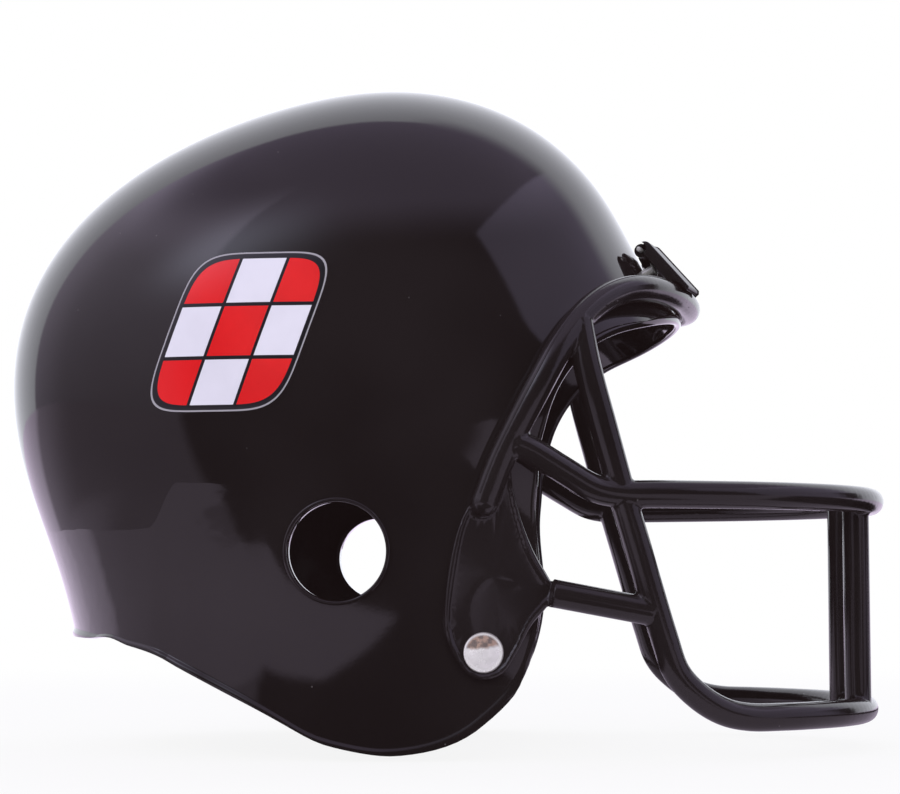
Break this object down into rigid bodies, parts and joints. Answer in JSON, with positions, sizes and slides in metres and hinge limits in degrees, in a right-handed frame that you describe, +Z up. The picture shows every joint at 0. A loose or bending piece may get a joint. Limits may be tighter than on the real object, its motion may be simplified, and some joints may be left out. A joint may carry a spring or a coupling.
{
  "type": "sports helmet",
  "caption": "Black glossy moulded batting helmet with round ear holes and a moulded face guard that swings on side studs and is held by hinged brow clips.",
  "frame": {"origin": "on the ground, below the middle of the helmet's overall length and width", "axes": "+X is forward, out of the face opening; +Y is the wearer's left; +Z is up"},
  "size_m": [0.2965, 0.1896, 0.2212],
  "materials": {
    "shell_black": "high gloss, moulded",
    "guard_black": "high gloss, moulded",
    "nickel": "satin nickel plating",
    "clip_black": "semi gloss",
    "steel": "plain",
    "vinyl": "printed vinyl, glossy"
  },
  "bodies": {
    "shell": {"shell": "shell_black", "right_clip_leaf": "clip_black", "left_clip_leaf": "clip_black", "right_clip_pin": "steel", "left_clip_pin": "steel", "right_clip_rivet": "steel", "left_clip_rivet": "steel", "right_clip_washer": "steel", "left_clip_washer": "steel", "right_label": "vinyl", "left_label": "vinyl"},
    "guard": {"face_guard": "guard_black", "right_stud_cap": "nickel", "left_stud_cap": "nickel", "right_stud_post": "nickel", "left_stud_post": "nickel", "right_stud_washer": "nickel", "left_stud_washer": "nickel"},
    "right_flap": {"right_clip_flap": "clip_black"},
    "left_flap": {"left_clip_flap": "clip_black"}
  },
  "joints": [
    {"name": "guard_swing", "type": "hinge", "parent": "shell", "child": "guard", "pos_m": [0.0149, 0, 0.0333], "axis": [0, 1, 0], "range_deg": [0, 35]},
    {"name": "right_flap_hinge", "type": "hinge", "parent": "shell", "child": "right_flap", "pos_m": [0.06667, -0.02579, 0.16495], "axis": [-0.2457, -0.9693, 0], "range_deg": [0, 105]},
    {"name": "left_flap_hinge", "type": "hinge", "parent": "shell", "child": "left_flap", "pos_m": [0.06667, 0.02579, 0.16495], "axis": [0.2457, -0.9693, 0], "range_deg": [0, 105]}
  ],
  "couplings": [
    {"joint": "right_flap_hinge", "follows": "guard_swing", "ratio": 3},
    {"joint": "left_flap_hinge", "follows": "guard_swing", "ratio": 3}
  ]
}
